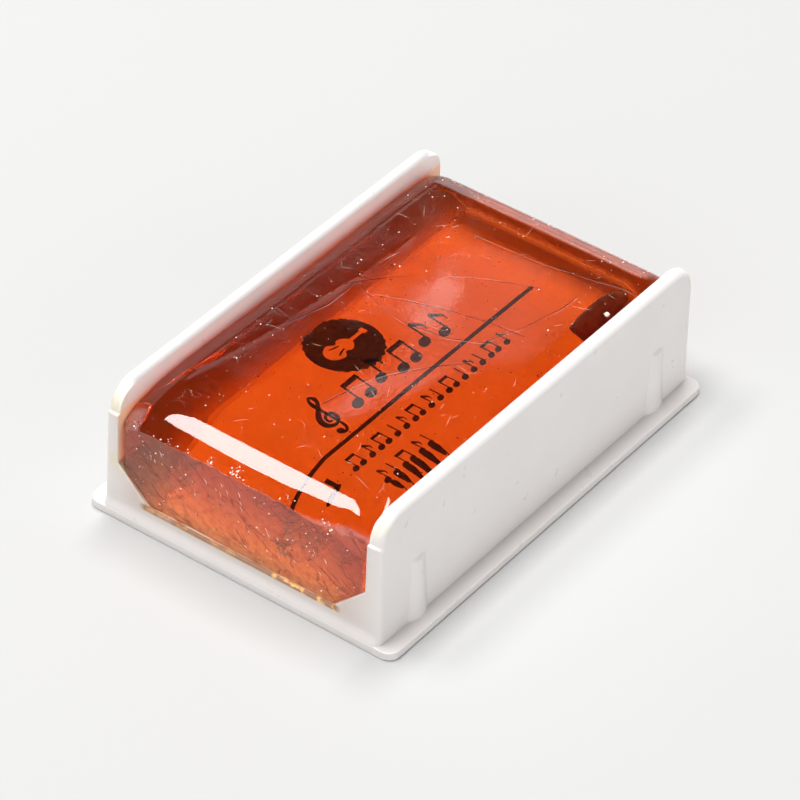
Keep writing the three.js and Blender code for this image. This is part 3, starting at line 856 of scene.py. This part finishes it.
def label_material():
    m = Mat("label_paper")
    m.set(Roughness=0.6, IOR=1.45)
    base = m.mix(m.ramp(m.noise(90, 4), 0.35, 0.65), (0.93, 0.91, 0.87), (0.96, 0.94, 0.91))
    fibre = m.ramp(m.noise(2400, 3, 0.6, (1, 3.2, 1)), 0.42, 0.62)
    base = m.mix(m.math("MULTIPLY", fibre, 0.08), base, (0.74, 0.66, 0.56))
    # painted shade: darker along its far and back borders, with a wandering edge
    sep = m.node("ShaderNodeSeparateXYZ")
    m.link(m.pos, sep.inputs[0])
    wander = m.math("MULTIPLY", m.math("SUBTRACT", m.noise(260, 4, 0.6), 0.5), 0.0022)
    far = m.math("POWER", m.ramp(m.math("ADD", sep.outputs[1], wander), 0.0098, 0.0122), 1.3)
    back = m.math("POWER", m.ramp(m.math("ADD", sep.outputs[0], wander), 0.0202, 0.0234), 1.3)
    base = m.mix(m.math("MAXIMUM", far, back), base, (0.44, 0.32, 0.22))
    m.link(base, m.p.inputs["Base Color"])
    m.link(m.ramp(m.noise(800, 3), 0.3, 0.7, 0.5, 0.7), m.p.inputs["Roughness"])
    m.link(m.bump(m.noise(2400, 3), 0.2, 0.00002), m.p.inputs["Normal"])
    return m.m


def ink_material():
    m = Mat("print_ink")
    m.set(IOR=1.5)
    m.link(m.mix(m.ramp(m.noise(1800, 3), 0.35, 0.65), (0.012, 0.010, 0.010), (0.035, 0.028, 0.026)), m.p.inputs["Base Color"])
    m.link(m.ramp(m.noise(900, 2), 0.3, 0.7, 0.45, 0.65), m.p.inputs["Roughness"])
    return m.m


# hairline cracks on the cake's top: centre, radius, then the stretch of it in x and in y (mm)
CRACKS = (
    ((-13.51, -14.37), 28.44, (2.6, 14.0), (-5.8, 9.2)),
    ((-28.32, -10.56), 35.07, (2.0, 7.3), (-9.0, 6.9)),
    ((14.38, 0.71), 13.16, (0.6, 3.8), (-7.6, 7.7)),
    ((-17.50, -24.04), 24.11, (-13.5, 0.6), (-7.4, 0.2)),
    ((0.72, 24.42), 15.91, (-8.5, 2.6), (8.2, 11.2)),
    ((85.02, 4.78), 68.16, (16.4, 20.0), (-13.0, 4.0)),
    ((17.28, 23.43), 33.06, (4.0, 14.5), (-9.6, -5.0)),
)


def rosin_material():
    m = Mat("rosin")
    m.set(IOR=1.53)
    sep = m.node("ShaderNodeSeparateXYZ")
    m.link(m.pos, sep.inputs[0])
    X, Y, Z = sep.outputs
    # the front end face is broken rather than cast: it scatters, and fine cracks run down it
    slope = m.node("ShaderNodeSeparateXYZ")
    m.link(m.geo.outputs["Normal"], slope.inputs[0])
    face = m.math("MULTIPLY", m.ramp(X, -0.0243, -0.0246), m.ramp(m.math("ADD", slope.outputs[0], m.math("MULTIPLY", m.noise(900, 3), 0.16)), -0.66, -0.76))
    corner = m.math("MULTIPLY", m.ramp(Y, 0.0124, 0.0134), m.ramp(X, -0.0234, -0.0243))
    face = m.math("MAXIMUM", face, m.math("MULTIPLY", corner, m.ramp(m.noise(500, 4, 0.6), 0.35, 0.6, 0.35, 0.9)))
    face = m.math("MAXIMUM", face, m.math("MULTIPLY", m.ramp(X, -0.0249, -0.0251), m.ramp(Z, 0.0037, 0.0034)))
    turn = m.node("ShaderNodeMapping")
    turn.inputs["Rotation"].default_value = (-0.56, 0, 0)
    m.link(m.pos, turn.inputs["Vector"])
    lines = None
    for scale, squash, width, seed in ((430, 0.15, 0.034, 0.0), (900, 0.22, 0.034, 3.1)):
        mp = m.node("ShaderNodeMapping")
        mp.inputs["Scale"].default_value = (0.35, squash, 1)
        mp.inputs["Location"].default_value = (seed, seed, 0)
        m.link(turn.outputs[0], mp.inputs["Vector"])
        nz = m.node("ShaderNodeTexNoise")
        nz.inputs["Scale"].default_value = 500
        m.link(m.pos, nz.inputs["Vector"])
        add = m.node("ShaderNodeVectorMath", operation="MULTIPLY_ADD")
        m.link(nz.outputs["Color"], add.inputs[0])
        add.inputs[1].default_value = (0.0006, 0.0006, 0.0006)
        m.link(mp.outputs[0], add.inputs[2])
        v = m.node("ShaderNodeTexVoronoi", feature="DISTANCE_TO_EDGE")
        v.inputs["Scale"].default_value = scale
        m.link(add.outputs[0], v.inputs["Vector"])
        k = m.math("MULTIPLY", m.ramp(v.outputs["Distance"], width * 0.4, width, 1, 0), m.ramp(m.noise(330 + scale * 0.2, 3), 0.47, 0.56))
        lines = k if lines is None else m.math("MAXIMUM", lines, k)
    lines = m.math("MULTIPLY", lines, face)
    # hairline cracks on the top
    flat = m.node("ShaderNodeCombineXYZ")
    m.link(X, flat.inputs[0]); m.link(Y, flat.inputs[1])
    wob = m.math("MULTIPLY", m.math("SUBTRACT", m.noise(170, 3, 0.55), 0.5), 0.0009)
    hair = lip_highlight_mask = None
    for (cx, cy), r, (x0, x1), (y0, y1) in CRACKS:
        ln = m.node("ShaderNodeVectorMath", operation="DISTANCE")
        m.link(flat.outputs[0], ln.inputs[0])
        ln.inputs[1].default_value = (cx * MM, cy * MM, 0)
        off = m.math("SUBTRACT", m.math("ADD", ln.outputs["Value"], wob), r * MM)
        win = m.math("MULTIPLY", m.ramp(X, (x0 - 0.4) * MM, x0 * MM), m.ramp(X, (x1 + 0.8) * MM, x1 * MM))
        win = m.math("MULTIPLY", win, m.math("MULTIPLY", m.ramp(Y, (y0 - 0.5) * MM, y0 * MM), m.ramp(Y, (y1 + 0.4) * MM, y1 * MM)))
        k = m.math("MULTIPLY", m.ramp(m.math("ABSOLUTE", off), 0.000040, 0.000075, 1, 0), win)
        # a painted highlight: a pale line beside it
        g = m.math("MULTIPLY", m.ramp(m.math("ABSOLUTE", m.math("SUBTRACT", off, 0.00012)), 0.00003, 0.00008, 1, 0), win)
        hair = k if hair is None else m.math("MAXIMUM", hair, k)
        lip_highlight_mask = g if lip_highlight_mask is None else m.math("MAXIMUM", lip_highlight_mask, g)
    top = m.ramp(Z, 0.0122, 0.0129)
    hair = m.math("MULTIPLY", m.math("MULTIPLY", hair, top), m.ramp(m.noise(150, 2), 0.40, 0.50, 0.15, 1))
    crack_lip_highlight = m.math("MULTIPLY", m.math("MULTIPLY", lip_highlight_mask, top), m.ramp(m.noise(210, 3), 0.46, 0.58, 0.1, 1))
    # fine golden crackle across the far roll
    crack = m.node("ShaderNodeTexVoronoi", feature="DISTANCE_TO_EDGE")
    crack.inputs["Scale"].default_value = 1500
    cmap = m.node("ShaderNodeMapping")
    cmap.inputs["Rotation"].default_value = (0, 0, 0.5)
    cmap.inputs["Scale"].default_value = (1.0, 0.22, 0.3)
    m.link(m.pos, cmap.inputs["Vector"]); m.link(cmap.outputs[0], crack.inputs["Vector"])
    gold = m.math("MULTIPLY", m.ramp(crack.outputs["Distance"], 0.008, 0.026, 1, 0), m.math("MULTIPLY", m.ramp(Y, 0.0088, 0.0104), m.ramp(Y, 0.0136, 0.0126)))
    gold = m.math("MULTIPLY", m.math("MULTIPLY", gold, top), m.ramp(m.noise(190, 3), 0.50, 0.62))
    # colour: clear, but hazed on the front face and dark in the cracks; the face carries a painted glow low down and
    # painted shade higher up, and is darker towards the walls
    upper = m.ramp(m.math("ADD", Z, m.math("MULTIPLY", m.noise(300, 3), 0.004)), 0.0060, 0.0125)
    haze = m.mix(upper, FACE_GLOW_LOW, FACE_SHADE_HIGH)
    haze = m.mix(m.ramp(m.noise(1300, 4, 0.6), 0.42, 0.66, 0, 0.7), haze, FACE_DARK)
    haze = m.mix(m.ramp(m.math("ABSOLUTE", Y), 0.0095, 0.0130, 0, 0.62), haze, (0.31, 0.09, 0.055))
    # painted golden glints along the bottom edge
    bottom_glints = m.math("MULTIPLY", m.ramp(Z, 0.00385, 0.0033), m.ramp(m.noise(900, 3), 0.46, 0.56))
    haze = m.mix(m.math("MULTIPLY", bottom_glints, 0.7), haze, (1.0, 0.62, 0.22))
    col = m.mix(face, (1.0, 1.0, 1.0), haze)
    col = m.mix(m.math("MULTIPLY", lines, 0.85), col, (0.16, 0.05, 0.03))
    col = m.mix(m.math("MULTIPLY", crack_lip_highlight, 0.9), col, (0.92, 0.62, 0.50))
    col = m.mix(m.math("MULTIPLY", gold, 0.8), col, (0.90, 0.42, 0.16))
    col = m.mix(m.math("MULTIPLY", hair, 0.95), col, (0.05, 0.010, 0.004))
    m.link(col, m.p.inputs["Base Color"])
    body = m.ramp(m.math("ADD", upper, m.math("MULTIPLY", m.noise(800, 4, 0.6), 0.5)), 0.25, 1.2, FACE_T[0], FACE_T[1])
    clear = m.node("ShaderNodeMix", data_type="FLOAT")
    clear.inputs[2].default_value = 1.0
    m.link(face, clear.inputs[0]); m.link(body, clear.inputs[3])
    veil = m.math("MAXIMUM", m.math("MULTIPLY", crack_lip_highlight, 0.15), m.math("MULTIPLY", gold, 0.10))
    m.link(m.math("MULTIPLY", clear.outputs[0], m.math("SUBTRACT", 1.0, veil)), m.p.inputs["Transmission Weight"])
    smooth = m.ramp(m.noise(500, 3), 0.35, 0.7, 0.01, 0.03)
    rough = m.ramp(m.noise(650, 4, 0.6), 0.3, 0.7, 0.12, 0.30)
    mixr = m.node("ShaderNodeMix", data_type="FLOAT")
    m.link(face, mixr.inputs[0]); m.link(smooth, mixr.inputs[2]); m.link(rough, mixr.inputs[3])
    m.link(mixr.outputs[0], m.p.inputs["Roughness"])
    # relief: fine skin, wrinkled along the far edge, folds and pits on the front face
    b = m.bump(m.noise(2300, 2, 0.5), 0.10, 0.000012)
    wave = m.noise(3400, 2, 0.5, (0.34, 1.25, 1.0, 0, 0, -0.35), 0.8)
    edge = m.math("MULTIPLY", m.ramp(Y, 0.0066, 0.0080), m.ramp(Y, 0.0128, 0.0120))
    edge = m.math("MULTIPLY", edge, m.math("MULTIPLY", m.ramp(m.noise(110, 3), 0.42, 0.56), m.math("MULTIPLY", top, m.ramp(X, -0.0175, -0.0150))))
    b = m.bump(m.math("MULTIPLY", wave, edge), 0.5, 0.00006, b)
    craze = m.node("ShaderNodeTexVoronoi", feature="DISTANCE_TO_EDGE")
    craze.inputs["Scale"].default_value = 1050
    m.link(m.pos, craze.inputs["Vector"])
    back = m.math("MULTIPLY", m.math("MULTIPLY", m.ramp(X, 0.0135, 0.0160), m.ramp(X, 0.0208, 0.0196)), m.ramp(m.noise(160, 3), 0.44, 0.56))
    net_ = m.math("MULTIPLY", m.math("MULTIPLY", m.ramp(craze.outputs["Distance"], 0.0, 0.05, 1, 0), back), top)
    b = m.bump(net_, 0.22, 0.00002, b)
    front = m.noise(420, 4, 0.6, (1, 1.3, 0.7, 0.9, 0, 0))
    b = m.bump(m.math("MULTIPLY", front, face), 0.5, 0.00008, b)
    b = m.bump(m.math("SUBTRACT", 1.0, lines), 0.5, 0.00006, b)
    skin = m.math("MULTIPLY", m.math("MULTIPLY", m.noise(3800, 2, 0.5), top), m.ramp(m.noise(120, 3), 0.42, 0.58, 0.25, 1))
    skin = m.math("MULTIPLY", skin, m.math("MULTIPLY", m.ramp(X, -0.004, 0.004), m.ramp(Y, 0.0020, 0.0050, 0.03, 1)))
    b = m.bump(skin, 0.5, 0.00005, b)
    m.link(b, m.p.inputs["Normal"])
    vol = m.node("ShaderNodeVolumeAbsorption")
    # absorption per metre = (1 - colour) * density
    a = (4.0, 90.0, 205.0)
    d = 220.0
    vol.inputs["Color"].default_value = (1 - a[0] / d, 1 - a[1] / d, 1 - a[2] / d, 1)
    vol.inputs["Density"].default_value = d
    m.link(vol.outputs[0], m.out.inputs["Volume"])
    return m.m


# painted glow low on the front face and painted shade higher up, the face's mottling, and its transmission
FACE_GLOW_LOW, FACE_SHADE_HIGH, FACE_DARK, FACE_T = (1.0, 0.43, 0.14), (0.45, 0.165, 0.085), (0.40, 0.12, 0.055), (0.82, 0.68)


def speck_material(name, a, b, rough):
    m = Mat(name)
    m.link(m.mix(m.ramp(m.noise(2500, 2), 0.35, 0.65), a, b), m.p.inputs["Base Color"])
    m.link(m.ramp(m.noise(1200, 2), 0.3, 0.7, rough - 0.08, rough + 0.08), m.p.inputs["Roughness"])
    return m.m


def flaw_material():
    m = Mat("internal_crack")
    # the crack is real; its dark red here is a painted reflection, with paler fine lines
    base = m.mix(m.ramp(m.noise(700, 4, 0.6), 0.35, 0.65), (0.58, 0.15, 0.09), (0.88, 0.30, 0.17))
    v = m.node("ShaderNodeTexVoronoi", feature="DISTANCE_TO_EDGE")
    v.inputs["Scale"].default_value = 620
    m.link(m.pos, v.inputs["Vector"])
    fine = m.math("MULTIPLY", m.ramp(v.outputs["Distance"], 0.01, 0.035, 1, 0), m.ramp(m.noise(300, 2), 0.45, 0.6))
    base = m.mix(m.math("MULTIPLY", fine, 0.8), base, (0.85, 0.45, 0.30))
    m.link(base, m.p.inputs["Base Color"])
    m.link(m.ramp(m.noise(500, 2), 0.3, 0.7, 0.35, 0.55), m.p.inputs["Roughness"])
    return m.m


def floor_material():
    m = Mat("pale_floor")
    m.link(m.mix(m.ramp(m.noise(6, 3), 0.3, 0.7), (0.486, 0.486, 0.480), (0.496, 0.496, 0.490)), m.p.inputs["Base Color"])
    m.set(Roughness=0.7, Specular_IOR_Level=0.25)
    return m.m


# --------------------------------------------------------------------------
# the object
# --------------------------------------------------------------------------
tray = make_tray()
cake = make_cake()
label = make_label()
ink = make_print()
dark, light, threads_ = make_specks()
flaw = make_flaw()

for ob, mat, slot_name in (
    (tray, plastic_material(), "tray_plastic"),
    (cake, rosin_material(), "rosin"),
    (label, label_material(), "label_paper"),
    (ink, ink_material(), "print_ink"),
    (dark, speck_material("grit", (0.05, 0.02, 0.01), (0.10, 0.04, 0.02), 0.5), "rosin"),
    (light, speck_material("powder", (0.80, 0.66, 0.55), (0.92, 0.86, 0.80), 0.5), "rosin"),
    (threads_, speck_material("threads", (0.78, 0.50, 0.36), (0.92, 0.80, 0.70), 0.5), "rosin"),
    (flaw, flaw_material(), "rosin"),
):
    ob.data.materials.clear()
    ob.data.materials.append(mat)
    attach(ob, "root")

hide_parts("tray")
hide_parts("rosin_cake")
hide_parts("label")

# --------------------------------------------------------------------------
# floor, light, camera
# --------------------------------------------------------------------------
fv = [(-2, -2, 0), (2, -2, 0), (2, 2, 0), (-2, 2, 0)]
floor = bpy.data.objects.new("floor", bpy.data.meshes.new("floor"))
floor.data.from_pydata(fv, [], [(0, 1, 2, 3)])
floor.data.materials.append(floor_material())
floor.location.z = -0.00002
bpy.context.scene.collection.objects.link(floor)

SWEEP, SOUTH, CARD = 1.0, 1.62, 0.55

world = bpy.data.worlds.new("studio")
bpy.context.scene.world = world
world.use_nodes = True
wn = world.node_tree
bg = wn.nodes["Background"]
bg.inputs["Strength"].default_value = 1.0


def wnode(kind, **kw):
    n = wn.nodes.new(kind)
    for k, v in kw.items():
        setattr(n, k, v)
    return n


def wramp(src, lo, hi, a, b):
    n = wnode("ShaderNodeMapRange", interpolation_type="SMOOTHSTEP")
    for k, v in (("From Min", lo), ("From Max", hi), ("To Min", a), ("To Max", b)):
        n.inputs[k].default_value = v
    wn.links.new(src, n.inputs["Value"])
    return n.outputs[0]


def wmath(op, a, b):
    n = wnode("ShaderNodeMath", operation=op)
    for i, v in enumerate((a, b)):
        if isinstance(v, (int, float)):
            n.inputs[i].default_value = v
        else:
            wn.links.new(v, n.inputs[i])
    return n.outputs[0]


# a white sweep all round, low down, and a pale side towards -X and -Y; the rest of the studio is dark
tc = wnode("ShaderNodeTexCoord")
nrm = wnode("ShaderNodeVectorMath", operation="NORMALIZE")
wn.links.new(tc.outputs["Generated"], nrm.inputs[0])
wsep = wnode("ShaderNodeSeparateXYZ")
wn.links.new(nrm.outputs[0], wsep.inputs[0])
sweep = wramp(wsep.outputs["Z"], 0.14, 0.44, SWEEP, 0.0)
side = wnode("ShaderNodeVectorMath", operation="DOT_PRODUCT")
wn.links.new(nrm.outputs[0], side.inputs[0])
side.inputs[1].default_value = (-0.62, -0.78, 0)
pale = wmath("MULTIPLY", wramp(side.outputs["Value"], 0.08, 0.40, 0.0, SOUTH), wramp(wsep.outputs["Z"], 0.28, 0.80, 1.0, 0.22))
card = wnode("ShaderNodeVectorMath", operation="DOT_PRODUCT")
wn.links.new(nrm.outputs[0], card.inputs[0])
card.inputs[1].default_value = Vector((0.6597, 0.4369, 0.6107)).normalized()
patch = wramp(card.outputs["Value"], math.cos(math.radians(1.8)), math.cos(math.radians(0.7)), 0.0, CARD)
beyond = wnode("ShaderNodeVectorMath", operation="DOT_PRODUCT")
wn.links.new(nrm.outputs[0], beyond.inputs[0])
beyond.inputs[1].default_value = Vector((0.655, 0.545, 0.525)).normalized()
patch = wmath("ADD", patch, wramp(beyond.outputs["Value"], math.cos(math.radians(5.6)), math.cos(math.radians(3.0)), 0.0, 0.8))
for towards, outer, inner, value in (((0.6505, 0.4460, 0.6140), 0.34, 0.22, 2.0), ((0.889, 0.444, 0.122), 11.0, 5.0, 0.25), ((0.6256, 0.4520, 0.6353), 0.32, 0.06, 1.0),
                                     ((0.6311, 0.4481, 0.6326), 0.32, 0.06, 1.5), ((0.6359, 0.4452, 0.6300), 0.32, 0.06, 1.1), ((0.6402, 0.4428, 0.6273), 0.30, 0.06, 0.6)):
    d = wnode("ShaderNodeVectorMath", operation="DOT_PRODUCT")
    wn.links.new(nrm.outputs[0], d.inputs[0])
    d.inputs[1].default_value = Vector(towards).normalized()
    patch = wmath("ADD", patch, wramp(d.outputs["Value"], math.cos(math.radians(outer)), math.cos(math.radians(inner)), 0.0, value))
level = wmath("MAXIMUM", wmath("MAXIMUM", sweep, pale), 0.05)
wn.links.new(wmath("ADD", level, patch), bg.inputs["Color"])


def area(name, towards, distance, size, radiance, colour=(1, 1, 1), target=(0, 0, 0.006)):
    """A soft rectangular lamp, its first side along X, of the given radiance."""
    lamp = bpy.data.lights.new(name, "AREA")
    lamp.shape = "RECTANGLE"
    lamp.size, lamp.size_y = size
    lamp.energy = radiance * math.pi * size[0] * size[1]
    lamp.color = colour
    ob = bpy.data.objects.new(name, lamp)
    d = Vector(towards).normalized()
    x = Vector((1, 0, 0)); x = (x - d * x.dot(d)).normalized()
    y = d.cross(x)
    ob.matrix_world = Matrix(((x.x, y.x, d.x, target[0] + d.x * distance), (x.y, y.y, d.y, target[1] + d.y * distance),
                              (x.z, y.z, d.z, target[2] + d.z * distance), (0, 0, 0, 1)))
    bpy.context.scene.collection.objects.link(ob)
    return ob


area("strip", (-0.155, 0.447, 0.88), 0.80, (0.28, 0.13), 17.0)
area("overhead", (0.05, 0.155, 0.987), 0.90, (0.90, 0.26), 15.5)

cam_data = bpy.data.cameras.new("camera")
cam_data.sensor_fit = "HORIZONTAL"
cam_data.sensor_width = 36.0
cam_data.lens = 210.05
cam_data.clip_start, cam_data.clip_end = 0.01, 20
cam = bpy.data.objects.new("camera", cam_data)
right = Vector((0.59670697, -0.80163814, 0.03629154))
down = Vector((-0.49024152, -0.39997403, -0.77439268))
ahead = Vector((0.63529839, 0.44429389, -0.63166359))
rot = Matrix((right, -down, -ahead)).transposed()
cam.matrix_world = Matrix.Translation((-0.28780073, -0.20090879, 0.29173996)) @ rot.to_4x4()
bpy.context.scene.collection.objects.link(cam)
bpy.context.scene.camera = cam

bpy.context.scene.view_settings.view_transform = "Standard"
bpy.context.scene.view_settings.look = "None"

bpy.context.view_layer.update()
